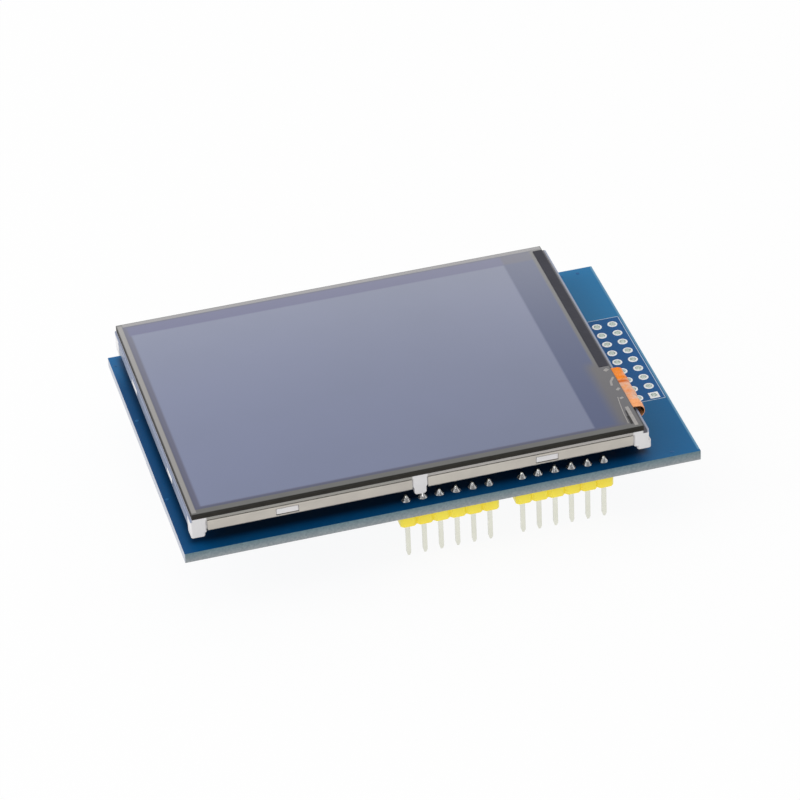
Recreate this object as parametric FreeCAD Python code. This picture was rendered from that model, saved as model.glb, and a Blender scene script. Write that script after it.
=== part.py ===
import FreeCAD, Part
import math
import os

os.makedirs("parts", exist_ok=True)
V = FreeCAD.Vector

# A touch display on a plug-in circuit board, in millimetres.
# X runs along the board from the card socket to the end with the spare holes.
# Y runs from the power header to the digital headers. Z = 0 is at the pin tips.

# Circuit board
board_length = 79.0
board_width = 53.0
board_thickness = 1.6

# Pin headers under the board
pin_pitch = 2.54
pin_side = 0.64
pin_end_side = 0.30
pin_taper = 0.60
pin_reach = 6.0
pin_hole_half = 0.50
housing_height = 2.54
housing_width = 2.50
housing_notch = 0.42
header_row_inset = 2.37
power_pin_inset = 34.05
near_header_gap_pins = 1
digital_header_gap = 4.064
solder_base_half = 0.72
solder_neck_half = 0.34
solder_clear_of_pin_end = 0.12

# Spare plated holes at the right end of the board
spare_rows = 9
spare_columns = 2
spare_hole_radius = 0.50
spare_pad_half = 0.85
spare_plating = 0.06
spare_column_inset = 1.96
spare_first_row_inset = 15.9

# Display module: folded steel tray around a moulded frame
tape_thickness = 2.5
module_left_inset = 1.40
module_near_inset = 0.87
module_width = 51.63
touch_length = 68.72
frame_left_overhang = 0.27
frame_right_overhang = 0.86
steel_thickness = 0.25
bend_radius = 0.45
tray_wall_height = 2.0
tray_clearance = 0.05
rim_gap = 0.14
rim_height = 0.46
corner_notch = 2.50
tab_clearance = 0.15
foot_drop = 0.75
foot_clearance_over_pins = 0.89
foot_chamfer = 0.25
foot_height = 1.40
moulded_corner_cut = 0.20
right_foot_step = 0.30
middle_tab_shift = 0.385
middle_tab_width = 2.12
middle_tab_neck = 1.80
tab_depth = 1.05
window_width = 3.45
window_height = 1.15
window_bottom_strip = 0.50
left_window_inset = 14.45
right_window_inset = 15.85
end_window_offset = 12.0
hook_clearance = 0.08
hook_ramp = 0.12
hook_root = 0.20

# Light sources and sheets in the frame, from the tray upwards
light_pocket_wall = 2.10
glass_pocket_wall = 1.35
sheet_clearance = 0.15
reflector_thickness = 0.10
light_guide_thickness = 0.55
diffuser_thickness = 0.08
prism_film_thickness = 0.06
rear_polarizer_thickness = 0.12
tft_glass_thickness = 0.45
cover_glass_thickness = 0.45
front_polarizer_thickness = 0.15
driver_ledge = 3.4
polarizer_inset = 0.60
led_count = 4
led_length = 3.8
led_depth = 1.0
led_height = 0.45
led_flex_width = 2.2
led_flex_thickness = 0.10
led_pitch = 11.0
driver_chip_length = 19.0
driver_chip_width = 1.1
driver_chip_height = 0.30
driver_chip_inset = 0.5

# Touch panel
touch_gasket_thickness = 0.10
touch_glass_thickness = 0.55
touch_spacer_thickness = 0.05
touch_film_thickness = 0.20
touch_seal_width = 1.40
edge_tape_width = 1.50
edge_tape_thickness = 0.04
edge_tape_end = 17.4
edge_tape_margin = 1.2
edge_tape_side_margin = 0.07

# Flexible tails
flex_thickness = 0.12
display_flex_width = 24.0
display_flex_centre = 33.0
display_flex_bond = 1.0
display_flex_return_gap = 0.35
display_flex_end_gap = 0.12
display_flex_run = 9.0
display_flex_slope = 3.2
display_flex_foot = 3.0
flex_window_clearance = 0.8
touch_tail_near_edge = 6.2
touch_tail_width = 10.6
touch_tail_bond = 0.9
touch_tail_reach = 2.0
touch_tail_curl_radius = 1.0
touch_tail_curl_drop = 1.45
touch_tail_side_gap = 0.12
touch_tail_foot_radius = 0.70
touch_tail_foot = 4.6
touch_tail_pads = 4
display_flex_pads = 14
flex_pad_height = 0.18
flex_pad_reach = 0.60
flex_pad_share = 0.5

# Foam tape between the board and the tray
tape_length = 44.0
tape_width = 9.0
tape_inset_x = 5.0
tape_spacing = 26.0

# Memory card socket under the board
socket_centre_y = 21.8
socket_mouth_inset = 0.4
socket_length = 14.6
socket_width = 14.2
socket_height = 1.9
socket_floor = 0.55
socket_rail = 1.25
socket_back_wall = 1.8
socket_sheet = 0.20
socket_lug_length = 1.4
socket_lug_width = 1.1
socket_lug_inset = 1.0
tongue_inset = 3.5
tongue_length = 5.5
tongue_width = 1.6
tongue_gap = 0.3
contact_count = 8
contact_pitch = 1.10
contact_width = 0.60
contact_thickness = 0.15
contact_reach = 7.2
contact_tip = 1.0
contact_slope = 4.0
contact_rise = 0.55
contact_tip_curl = 0.275
contact_tail = 0.9
contact_groove_clearance = 0.10
contact_groove_height = 0.30

# Chips and small parts under the board
chip_length = 12.8
chip_width = 7.5
chip_height = 2.2
chip_standoff = 0.15
chip_lead_pitch = 1.27
chip_leads_per_side = 10
chip_lead_width = 0.42
chip_lead_thickness = 0.25
chip_lead_span = 10.3
chip_lead_foot = 0.65
chip_lead_slope = 0.22
chip_spacing = 15.4
chip_centre_x = 40.0
chip_centre_y = 27.5
mould_draft = 0.22
regulator_x = 62.0
regulator_y = 40.5
regulator_length = 6.5
regulator_width = 3.5
regulator_height = 1.6
regulator_lead_width = 0.75
regulator_tab_width = 3.0
regulator_lead_pitch = 2.3
regulator_lead_span = 7.0
regulator_lead_foot = 0.85
capacitor_size = (2.0, 1.25, 0.85)
resistor_size = (1.6, 0.8, 0.45)
passive_end = 0.35
resistor_count = 8
resistor_spacing = 2.2
capacitor_count = 4
capacitor_spacing = 4.6
passive_row_gap = 3.0

# Working values: how far a cutting block passes its target, and how near counts as touching
cut_margin = 1.0
touching = 1e-6
sharp_fold = 0.0

# Heights, all from the sizes above
board_bottom = pin_reach + housing_height
board_top = board_bottom + board_thickness
tray_bottom = board_top + tape_thickness
tray_floor = tray_bottom + steel_thickness
window_low = tray_bottom + window_bottom_strip
window_high = window_low + window_height
rim_bottom = tray_bottom + tray_wall_height + rim_gap
rim_top = rim_bottom + rim_height
foot_bottom = tray_bottom - foot_drop
pin_top = foot_bottom - foot_clearance_over_pins
guide_bottom = tray_floor + reflector_thickness
guide_top = guide_bottom + light_guide_thickness
diffuser_top = guide_top + diffuser_thickness
lower_prism_top = diffuser_top + prism_film_thickness
upper_prism_top = lower_prism_top + prism_film_thickness
tft_bottom = upper_prism_top + rear_polarizer_thickness
tft_top = tft_bottom + tft_glass_thickness
cover_top = tft_top + cover_glass_thickness
gasket_top = rim_top + touch_gasket_thickness
touch_glass_top = gasket_top + touch_glass_thickness
spacer_top = touch_glass_top + touch_spacer_thickness
film_top = spacer_top + touch_film_thickness

# Places in the plan view
board_left = -board_length / 2
board_right = board_length / 2
board_near = -board_width / 2
module_left = board_left + module_left_inset
touch_left = module_left + frame_left_overhang
touch_right = touch_left + touch_length
module_right = touch_right + frame_right_overhang
module_near = board_near + module_near_inset
module_far = module_near + module_width
module_centre_y = (module_near + module_far) / 2
middle_tab_x = (module_left + module_right) / 2 - middle_tab_shift
power_pin_x = board_left + power_pin_inset
glass_right = module_right - glass_pocket_wall - sheet_clearance
light_right = module_right - light_pocket_wall - driver_ledge


# Solids
def block(x0, x1, y0, y1, z0, z1):
    return Part.makeBox(x1 - x0, y1 - y0, z1 - z0, V(x0, y0, z0))


def rounded_wire(corners):
    """Closed wire through (point, radius) corners, with tangent arcs."""
    edges = []
    ends = []
    count = len(corners)
    for i in range(count):
        point, radius = corners[i]
        back = (corners[i - 1][0] - point).normalize()
        ahead = (corners[(i + 1) % count][0] - point).normalize()
        if radius <= 0:
            ends.append((point, None, point))
            continue
        half = back.getAngle(ahead) / 2
        reach = radius / math.tan(half)
        middle = (back + ahead).normalize() * (radius / math.sin(half) - radius)
        ends.append((point + back * reach, point + middle, point + ahead * reach))
    for i in range(count):
        start, middle, end = ends[i]
        if middle is not None:
            edges.append(Part.Arc(start, middle, end).toShape())
        following = ends[(i + 1) % count][0]
        if end.distanceToPoint(following) > touching:
            edges.append(Part.LineSegment(end, following).toShape())
    return Part.Wire(edges)


def polygon_face(points):
    return Part.Face(Part.makePolygon(points + [points[0]]))


def faceted(levels):
    """Solid with flat sides through stacked outlines, each level being (z, outline)."""
    loops = [[V(x, y, z) for x, y in outline] for z, outline in levels]
    faces = [polygon_face(loops[0]), polygon_face(loops[-1])]
    for low, high in zip(loops, loops[1:]):
        for i in range(len(low)):
            faces.append(polygon_face([low[i - 1], low[i], high[i], high[i - 1]]))
    solid = Part.Solid(Part.Shell(faces))
    if solid.Volume < 0:
        solid.reverse()
    return solid


def rectangle(x0, x1, y0, y1):
    return [(x0, y0), (x1, y0), (x1, y1), (x0, y1)]


def cut_rectangle(x0, x1, y0, y1, cut):
    """Rectangle with its four corners cut off at 45 degrees."""
    return [(x0 + cut, y0), (x1 - cut, y0), (x1, y0 + cut), (x1, y1 - cut),
            (x1 - cut, y1), (x0 + cut, y1), (x0, y1 - cut), (x0, y0 + cut)]


def octagon(x, y, half):
    """Small round outline drawn with eight flats, half being half its size across flats."""
    cut = half * (1 - math.tan(math.pi / 8))
    return cut_rectangle(x - half, x + half, y - half, y + half, cut)


def ring(x0, x1, y0, y1, width, z0, z1):
    outer = block(x0, x1, y0, y1, z0, z1)
    return outer.cut(block(x0 + width, x1 - width, y0 + width, y1 - width, z0, z1))


def ribbon(points, radius, thickness, width):
    """Folded strip: its centre line runs through the points, width is a vector."""
    across = width.cross(points[1] - points[0]).normalize()
    sides = ([], [])
    last = len(points) - 1
    for i, point in enumerate(points):
        before = (point - points[max(i - 1, 0)]) if i else (points[1] - point)
        after = (points[i + 1] - point) if i < last else before
        normal_before = width.cross(before).normalize()
        normal_after = width.cross(after).normalize()
        normal = (normal_before + normal_after).normalize()
        stretch = thickness / 2 / normal.dot(normal_before)
        bend = before.cross(after).dot(width)
        for side, sign in enumerate((1, -1)):
            corner_radius = 0.0
            if radius > 0 and 0 < i < last:
                corner_radius = radius - sign * math.copysign(thickness / 2, bend)
            sides[side].append((point + normal * (sign * stretch), corner_radius))
    return Part.Face(rounded_wire(sides[0] + sides[1][::-1])).extrude(width)


def join(shapes):
    whole = shapes[0]
    for shape in shapes[1:]:
        whole = whole.fuse(shape)
    return whole.removeSplitter()


def tapered_block(x, y, length, width, levels):
    """Block that narrows with height, each level being (z, inset of its sides)."""
    stack = []
    for z, inset in levels:
        half_x = length / 2 - inset
        half_y = width / 2 - inset
        stack.append((z, rectangle(x - half_x, x + half_x, y - half_y, y + half_y)))
    return faceted(stack)


# Pin headers
near_row = board_near + header_row_inset
far_row = -near_row
near_pin_count = 6
low_digital_count = 8
high_digital_count = 6
analog_pin_x = power_pin_x + (near_pin_count + near_header_gap_pins) * pin_pitch
analog_last_x = analog_pin_x + (near_pin_count - 1) * pin_pitch
low_digital_x = analog_last_x - (low_digital_count - 1) * pin_pitch
high_digital_x = low_digital_x - digital_header_gap - (high_digital_count - 1) * pin_pitch
headers = {
    "power": (power_pin_x, near_row, near_pin_count),
    "analog": (analog_pin_x, near_row, near_pin_count),
    "low_digital": (low_digital_x, far_row, low_digital_count),
    "high_digital": (high_digital_x, far_row, high_digital_count),
}


def pin_places(header):
    first_x, y, count = headers[header]
    return [(first_x + i * pin_pitch, y) for i in range(count)]


def pin_body(x, y):
    inset = (pin_side - pin_end_side) / 2
    levels = [(0.0, inset), (pin_taper, 0.0), (pin_top - pin_taper, 0.0), (pin_top, inset)]
    return tapered_block(x, y, pin_side, pin_side, levels)


def header_pins(header):
    return Part.makeCompound([pin_body(x, y) for x, y in pin_places(header)])


def header_housing(header):
    places = pin_places(header)
    half_cell = pin_pitch / 2
    half_width = housing_width / 2
    near_side = []
    far_side = []
    for x, y in places:
        for end in (-1, 1):
            shoulder = x + end * (half_cell - housing_notch)
            waist = x + end * half_cell
            near_pair = [V(shoulder, y - half_width, 0), V(waist, y - half_width + housing_notch, 0)]
            far_pair = [V(shoulder, y + half_width, 0), V(waist, y + half_width - housing_notch, 0)]
            near_side += near_pair if end > 0 else near_pair[::-1]
            far_side += far_pair if end > 0 else far_pair[::-1]
    outline = [near_side[0]]
    for point in near_side[1:] + far_side[::-1]:
        if point.distanceToPoint(outline[-1]) > touching:
            outline.append(point)
    body = polygon_face(outline).extrude(V(0, 0, housing_height))
    body.translate(V(0, 0, pin_reach))
    half_pin = pin_side / 2
    for x, y in places:
        body = body.cut(block(x - half_pin, x + half_pin, y - half_pin, y + half_pin,
                              pin_reach, board_bottom))
    return body


def solder_cone(x, y):
    """Solder round a pin, from its pad on the board to just below the pin's end."""
    base = octagon(x, y, solder_base_half)
    neck = octagon(x, y, solder_neck_half)
    cone = faceted([(board_top, base), (pin_top - solder_clear_of_pin_end, neck)])
    return cone.cut(pin_body(x, y))


def header_solder(header):
    return Part.makeCompound([solder_cone(x, y) for x, y in pin_places(header)])


# Circuit board and its spare holes
def spare_hole_places():
    places = []
    for column in range(spare_columns):
        x = board_right - spare_column_inset - column * pin_pitch
        for row in range(spare_rows):
            places.append((x, board_near + spare_first_row_inset + row * pin_pitch))
    return places


def circuit_board():
    board = block(board_left, board_right, board_near, -board_near, board_bottom, board_top)
    drills = [barrel(x, y) for x, y in spare_hole_places()]
    for header in headers:
        for x, y in pin_places(header):
            outline = octagon(x, y, pin_hole_half)
            drills.append(faceted([(board_bottom, outline), (board_top, outline)]))
    return board.cut(Part.makeCompound(drills))


def barrel(x, y):
    outline = octagon(x, y, spare_hole_radius + spare_plating)
    return faceted([(board_bottom, outline), (board_top, outline)])


def spare_pad(x, y, square, z0):
    half = spare_pad_half
    outline = rectangle(x - half, x + half, y - half, y + half) if square else octagon(x, y, half)
    return faceted([(z0, outline), (z0 + spare_plating, outline)])


def plated_hole(x, y, square):
    """Barrel through the board with a pad at each end, as plated in one go."""
    low = board_bottom - spare_plating
    rivet = join([barrel(x, y), spare_pad(x, y, square, low), spare_pad(x, y, square, board_top)])
    bore = Part.makeCylinder(spare_hole_radius, board_thickness + 2 * spare_plating, V(x, y, low))
    return rivet.cut(bore)


def plated_holes():
    places = spare_hole_places()
    return Part.makeCompound([plated_hole(x, y, i == 0) for i, (x, y) in enumerate(places)])


# Steel tray: two folded channels sharing one floor, open at the corners
def folded_channel(first_wall, second_wall, length):
    """Sheet with a wall at each end; the walls are given by their outer faces."""
    half = steel_thickness / 2
    inward = (second_wall - first_wall).normalize() * half
    floor = V(0, 0, tray_bottom + half)
    top = V(0, 0, tray_bottom + tray_wall_height)
    first = first_wall + inward
    second = second_wall - inward
    path = [first + top, first + floor, second + floor, second + top]
    return ribbon(path, bend_radius - half, steel_thickness, length)


def flex_window():
    """Near and far side of the gap that the display flex leaves through."""
    middle = board_near + display_flex_centre
    half = display_flex_width / 2 + flex_window_clearance
    return middle - half, middle + half


def window_places():
    """Middle of each snap window on the module's outer face, and the way out."""
    places = []
    for x in (module_left + left_window_inset, module_right - right_window_inset):
        places.append((V(x, module_near, 0), V(0, -1, 0)))
        places.append((V(x, module_far, 0), V(0, 1, 0)))
    for y in (module_centre_y - end_window_offset, module_centre_y + end_window_offset):
        places.append((V(module_left, y, 0), V(-1, 0, 0)))
    return places


def wall_bar(place, out, half, outline):
    """Bar along a wall, its outline given as (distance out of the wall's face, z)."""
    side = V(abs(out.y), abs(out.x), 0) * half
    face = polygon_face([place - side + out * distance + V(0, 0, z) for distance, z in outline])
    return face.extrude(side * 2)


def tray_windows():
    depth = steel_thickness + tray_clearance
    outline = [
        (cut_margin, window_low),
        (cut_margin, window_high),
        (-depth, window_high),
        (-depth, window_low),
    ]
    return [wall_bar(place, out, window_width / 2, outline) for place, out in window_places()]


def steel_tray():
    along_x = folded_channel(V(module_left + corner_notch, module_near, 0),
                             V(module_left + corner_notch, module_far, 0),
                             V(module_right - module_left - 2 * corner_notch, 0, 0))
    along_y = folded_channel(V(module_left, module_near + corner_notch, 0),
                             V(module_right, module_near + corner_notch, 0),
                             V(0, module_width - 2 * corner_notch, 0))
    tray = along_x.fuse(along_y).removeSplitter()
    top = tray_bottom + tray_wall_height
    half_gap = middle_tab_width / 2 + tab_clearance
    depth = tab_depth + tab_clearance
    low = tray_bottom - cut_margin
    high = top + cut_margin
    cuts = tray_windows()
    for y in (module_near, module_far):
        cuts.append(block(middle_tab_x - half_gap, middle_tab_x + half_gap, y - depth, y + depth,
                          low, high))
    flex_near, flex_far = flex_window()
    cuts.append(block(flex_turn_x, module_right + cut_margin, flex_near, flex_far, low, high))
    return tray.cut(Part.makeCompound(cuts))


# Moulded frame: rim over the tray walls, pocket walls, tabs with feet and snap hooks
def frame_walls():
    inset = steel_thickness + tray_clearance
    walls = block(module_left + inset, module_right - inset, module_near + inset, module_far - inset,
                  tray_floor, rim_bottom)
    lower_edges = [edge for edge in walls.Edges if edge.BoundBox.ZMax < tray_floor + touching]
    walls = walls.makeChamfer(bend_radius - steel_thickness, lower_edges)
    outline = cut_rectangle(module_left, module_right, module_near, module_far, moulded_corner_cut)
    return walls.fuse(faceted([(rim_bottom, outline), (rim_top, outline)]))


def frame_pockets():
    light = block(module_left + light_pocket_wall, module_right - light_pocket_wall,
                  module_near + light_pocket_wall, module_far - light_pocket_wall,
                  tray_floor - cut_margin, tft_bottom)
    glass = block(module_left + glass_pocket_wall, module_right - glass_pocket_wall,
                  module_near + glass_pocket_wall, module_far - glass_pocket_wall,
                  tft_bottom, rim_top + cut_margin)
    flex_near, flex_far = flex_window()
    flex_slot = block(module_right - light_pocket_wall - cut_margin, module_right + cut_margin,
                      flex_near, flex_far, tray_bottom - cut_margin, rim_bottom)
    return Part.makeCompound([light, glass, flex_slot])


def tab_profile(centre, upper_width, lower_width, axis):
    """Side view of a tab with its narrower foot, drawn along the given axis."""
    step_z = foot_bottom + foot_height
    upper = upper_width / 2
    lower = lower_width / 2
    right_side = [
        (lower - foot_chamfer, foot_bottom),
        (lower, foot_bottom + foot_chamfer),
        (lower, step_z - foot_chamfer),
        (upper, step_z),
        (upper, rim_bottom),
    ]
    left_side = [(-along, z) for along, z in right_side[::-1]]
    return polygon_face([centre + axis * along + V(0, 0, z) for along, z in right_side + left_side])


def middle_tab(y, inward):
    profile = tab_profile(V(middle_tab_x, y, 0), middle_tab_width, middle_tab_neck, V(1, 0, 0))
    return profile.extrude(V(0, inward * tab_depth, 0))


def corner_tab(side_x, side_y):
    """Post in the tray's open corner, with a smaller foot below that stands beside the pins."""
    size = corner_notch - tab_clearance
    edge_x = module_left if side_x < 0 else module_right
    edge_y = module_near if side_y < 0 else module_far
    inner_x = edge_x - side_x * size
    inner_y = edge_y - side_y * size
    x0, x1 = sorted((edge_x, inner_x))
    y0, y1 = sorted((edge_y, inner_y))
    outline = cut_rectangle(x0, x1, y0, y1, moulded_corner_cut)
    post = faceted([(tray_bottom, outline), (rim_bottom, outline)])
    step = right_foot_step if side_x > 0 else 0.0
    x0, x1 = sorted((edge_x + side_x * step, inner_x + side_x * (foot_chamfer + step)))
    toe = foot_chamfer / 2
    outline = cut_rectangle(x0, x1, y0, y1, moulded_corner_cut)
    foot = faceted([
        (foot_bottom, cut_rectangle(x0 + toe, x1 - toe, y0 + toe, y1 - toe, moulded_corner_cut)),
        (foot_bottom + toe, outline),
        (foot_bottom + foot_height, outline),
    ])
    return post.fuse(foot)


def snap_hooks():
    """Hooks with a flat catch on top and a ramp below, flush with the steel."""
    low = window_low + hook_clearance
    high = window_high - hook_clearance
    root = steel_thickness + tray_clearance + hook_root
    outline = [(-hook_ramp, low), (0.0, low + hook_ramp), (0.0, high), (-root, high), (-root, low)]
    half = window_width / 2 - hook_clearance
    return [wall_bar(place, out, half, outline) for place, out in window_places()]


def plastic_frame():
    pieces = [frame_walls(), middle_tab(module_near, 1), middle_tab(module_far, -1)]
    for side_x in (-1, 1):
        for side_y in (-1, 1):
            pieces.append(corner_tab(side_x, side_y))
    frame = join(pieces + snap_hooks())
    return frame.cut(frame_pockets()).removeSplitter()


# Sheets of the backlight and the display cell
def light_sheet(z0, z1, right):
    gap = light_pocket_wall + sheet_clearance
    return block(module_left + gap, right, module_near + gap, module_far - gap, z0, z1)


def backlight_reflector():
    return light_sheet(tray_floor, guide_bottom, module_right - light_pocket_wall - sheet_clearance)


def light_guide():
    return light_sheet(guide_bottom, guide_top, light_right)


def film_over_guide(z0, z1):
    return light_sheet(z0, z1, light_right)


def led_places():
    first = module_centre_y - (led_count - 1) * led_pitch / 2
    return [first + i * led_pitch for i in range(led_count)]


def backlight_leds():
    x0 = light_right + sheet_clearance
    lamps = []
    for y in led_places():
        lamps.append(block(x0, x0 + led_depth, y - led_length / 2, y + led_length / 2,
                           guide_bottom + led_flex_thickness, guide_bottom + led_flex_thickness + led_height))
    return Part.makeCompound(lamps)


def led_flex():
    half = (led_count - 1) * led_pitch / 2 + led_length
    x0 = light_right + sheet_clearance
    return block(x0, x0 + led_flex_width, module_centre_y - half, module_centre_y + half,
                 guide_bottom, guide_bottom + led_flex_thickness)


def rear_polarizer():
    return light_sheet(upper_prism_top, tft_bottom, light_right)


def tft_glass():
    gap = glass_pocket_wall + sheet_clearance
    return block(module_left + gap, glass_right, module_near + gap, module_far - gap, tft_bottom, tft_top)


def cover_glass():
    gap = glass_pocket_wall + sheet_clearance
    return block(module_left + gap, glass_right - driver_ledge, module_near + gap, module_far - gap,
                 tft_top, cover_top)


def front_polarizer():
    gap = glass_pocket_wall + sheet_clearance + polarizer_inset
    return block(module_left + gap, glass_right - driver_ledge - polarizer_inset, module_near + gap,
                 module_far - gap, cover_top, cover_top + front_polarizer_thickness)


def driver_chip():
    x0 = glass_right - driver_ledge + driver_chip_inset
    y = board_near + display_flex_centre
    return block(x0, x0 + driver_chip_width, y - driver_chip_length / 2, y + driver_chip_length / 2,
                 tft_top, tft_top + driver_chip_height)


# Display flex: bonded on the glass ledge, folded round the tray's end, soldered to the board
display_flex_top = tft_top + flex_thickness / 2
display_flex_low = tray_bottom - display_flex_return_gap - flex_thickness / 2
display_flex_radius = (display_flex_top - display_flex_low) / 2
display_flex_bend_x = module_right - display_flex_end_gap - flex_thickness / 2
flex_turn_x = display_flex_bend_x - display_flex_radius
flex_on_board = board_top + flex_thickness / 2
display_flex_slope_x = flex_turn_x - display_flex_run - display_flex_slope
display_flex_end_x = display_flex_slope_x - display_flex_foot


def display_flex():
    y0 = board_near + display_flex_centre - display_flex_width / 2
    turn_z = (display_flex_top + display_flex_low) / 2
    turn = V(display_flex_bend_x, y0, turn_z)
    upper = [
        V(glass_right - display_flex_bond, y0, display_flex_top),
        V(display_flex_bend_x, y0, display_flex_top),
        turn,
    ]
    lower = [
        turn,
        V(display_flex_bend_x, y0, display_flex_low),
        V(flex_turn_x - display_flex_run, y0, display_flex_low),
        V(display_flex_slope_x, y0, flex_on_board),
        V(display_flex_end_x, y0, flex_on_board),
    ]
    width = V(0, display_flex_width, 0)
    halves = [ribbon(path, display_flex_radius, flex_thickness, width) for path in (upper, lower)]
    return join(halves)


def foot_pads(x_end, y_near, width, count):
    """Solder bars in front of a flex's end, each at the end of one track."""
    pitch = width / count
    half = pitch * flex_pad_share / 2
    pads = []
    for i in range(count):
        y = y_near + (i + 0.5) * pitch
        pads.append(block(x_end - flex_pad_reach, x_end, y - half, y + half,
                          board_top, board_top + flex_pad_height))
    return pads


def flex_solder():
    flex_near = board_near + display_flex_centre - display_flex_width / 2
    pads = foot_pads(display_flex_end_x, flex_near, display_flex_width, display_flex_pads)
    tail_near = board_near + touch_tail_near_edge
    pads += foot_pads(touch_tail_end_x, tail_near, touch_tail_width, touch_tail_pads)
    return Part.makeCompound(pads)


# Touch panel: gasket, glass, edge seal and top film
def touch_layer(z0, z1):
    return block(touch_left, touch_right, module_near, module_far, z0, z1)


def touch_gasket():
    return ring(touch_left, touch_right, module_near, module_far, touch_seal_width, rim_top, gasket_top)


def tail_slot(z0, z1):
    y0 = board_near + touch_tail_near_edge
    x0 = touch_right - touch_tail_bond
    return block(x0, touch_right + cut_margin, y0, y0 + touch_tail_width, z0, z1)


def touch_spacer():
    seal = ring(touch_left, touch_right, module_near, module_far, touch_seal_width,
                touch_glass_top, spacer_top)
    return seal.cut(tail_slot(touch_glass_top, spacer_top))


def touch_film():
    film = touch_layer(spacer_top, film_top)
    return film.cut(tail_slot(spacer_top, touch_glass_top + flex_thickness))


def edge_tape():
    x1 = touch_right - edge_tape_side_margin
    return block(x1 - edge_tape_width, x1, board_near + edge_tape_end, module_far - edge_tape_margin,
                 film_top, film_top + edge_tape_thickness)


# Touch tail: curls over the rim, runs down the tray's right wall and in under the tray
touch_tail_out_x = touch_right + touch_tail_reach
touch_tail_side_x = module_right + touch_tail_side_gap + flex_thickness / 2
touch_tail_end_x = touch_tail_side_x - touch_tail_foot_radius - touch_tail_foot


def touch_tail():
    y0 = board_near + touch_tail_near_edge
    top = touch_glass_top + flex_thickness / 2
    curl_low = top - touch_tail_curl_drop
    side_high = curl_low - (touch_tail_out_x - touch_tail_side_x)
    middle = V(touch_tail_side_x, y0, (side_high + flex_on_board) / 2)
    upper = [
        V(touch_right - touch_tail_bond, y0, top),
        V(touch_tail_out_x, y0, top),
        V(touch_tail_out_x, y0, curl_low),
        V(touch_tail_side_x, y0, side_high),
        middle,
    ]
    lower = [middle, V(touch_tail_side_x, y0, flex_on_board), V(touch_tail_end_x, y0, flex_on_board)]
    width = V(0, touch_tail_width, 0)
    return join([
        ribbon(upper, touch_tail_curl_radius, flex_thickness, width),
        ribbon(lower, touch_tail_foot_radius, flex_thickness, width),
    ])


# Foam tape strips that hold the tray on the board
def foam_tape():
    x0 = module_left + tape_inset_x
    strips = []
    for y in (-tape_spacing / 2, tape_spacing / 2):
        strips.append(block(x0, x0 + tape_length, y - tape_width / 2, y + tape_width / 2,
                            board_top, tray_bottom))
    return Part.makeCompound(strips)


# Memory card socket: the base lies on the board's underside, the shell folds round it
socket_x = board_left + socket_mouth_inset
socket_back = socket_x + socket_length
socket_y = board_near + socket_centre_y


def below(depth):
    return board_bottom - depth


def contact_places():
    first = socket_y - (contact_count - 1) * contact_pitch / 2
    return [first + i * contact_pitch for i in range(contact_count)]


def card_socket_body():
    half = socket_width / 2 - socket_sheet
    deep = socket_height - socket_sheet
    body = block(socket_x, socket_back, socket_y - half, socket_y + half, below(deep), board_bottom)
    low_edges = [edge for edge in body.Edges if edge.BoundBox.ZMax < below(deep) + touching]
    long_edges = [edge for edge in low_edges if edge.BoundBox.XLength > socket_length / 2]
    body = body.makeChamfer(socket_sheet / 2, long_edges)
    slot_half = half - socket_rail
    wall_x = socket_back - socket_back_wall
    cuts = [block(socket_x - cut_margin, wall_x, socket_y - slot_half, socket_y + slot_half,
                  below(deep + cut_margin), below(socket_floor))]
    groove_half = contact_width / 2 + contact_groove_clearance
    for y in contact_places():
        cuts.append(block(wall_x - cut_margin, socket_back + cut_margin, y - groove_half, y + groove_half,
                          below(socket_floor + contact_groove_height), below(socket_floor)))
    return body.cut(Part.makeCompound(cuts))


def card_socket_contacts():
    """Springs that rise into the slot, with tails folded down onto the board."""
    lying = below(socket_floor + contact_thickness / 2)
    raised = below(socket_floor + contact_thickness / 2 + contact_rise)
    tail_z = below(contact_thickness / 2)
    fold_x = socket_back + contact_thickness
    tip_x = socket_back - socket_back_wall - contact_reach
    springs = []
    for y in contact_places():
        y0 = y - contact_width / 2
        path = [
            V(tip_x, y0, raised + contact_tip_curl),
            V(tip_x + contact_tip, y0, raised),
            V(tip_x + contact_tip + contact_slope, y0, lying),
            V(fold_x, y0, lying),
            V(fold_x, y0, tail_z),
            V(fold_x + contact_tail, y0, tail_z),
        ]
        springs.append(ribbon(path, sharp_fold, contact_thickness, V(0, contact_width, 0)))
    return Part.makeCompound(springs)


def card_tongue_slots(y):
    """U-shaped cut that frees one spring tongue in the shell's flat side."""
    x0 = socket_x + tongue_inset
    x1 = x0 + tongue_length
    half = tongue_width / 2
    z0 = below(socket_height + cut_margin)
    z1 = below(socket_height - socket_sheet)
    return [
        block(x0, x1, y - half - tongue_gap, y - half, z0, z1),
        block(x0, x1, y + half, y + half + tongue_gap, z0, z1),
        block(x0, x0 + tongue_gap, y - half, y + half, z0, z1),
    ]


def card_socket_shell():
    half_sheet = socket_sheet / 2
    side = socket_width / 2 - half_sheet
    low = below(socket_height - half_sheet)
    path = [
        V(socket_x, socket_y - side, board_bottom),
        V(socket_x, socket_y - side, low),
        V(socket_x, socket_y + side, low),
        V(socket_x, socket_y + side, board_bottom),
    ]
    length = socket_length - socket_back_wall / 2
    shell = ribbon(path, socket_sheet, socket_sheet, V(length, 0, 0))
    lugs = []
    for x in (socket_x + socket_lug_inset, socket_x + length - socket_lug_inset - socket_lug_length):
        for out in (-1, 1):
            inner = socket_y + out * side
            y0, y1 = sorted((inner, socket_y + out * (socket_width / 2 + socket_lug_width)))
            lugs.append(block(x, x + socket_lug_length, y0, y1, below(socket_sheet), board_bottom))
    slots = card_tongue_slots(socket_y - socket_width / 4) + card_tongue_slots(socket_y + socket_width / 4)
    return join([shell] + lugs).cut(Part.makeCompound(slots))


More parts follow.
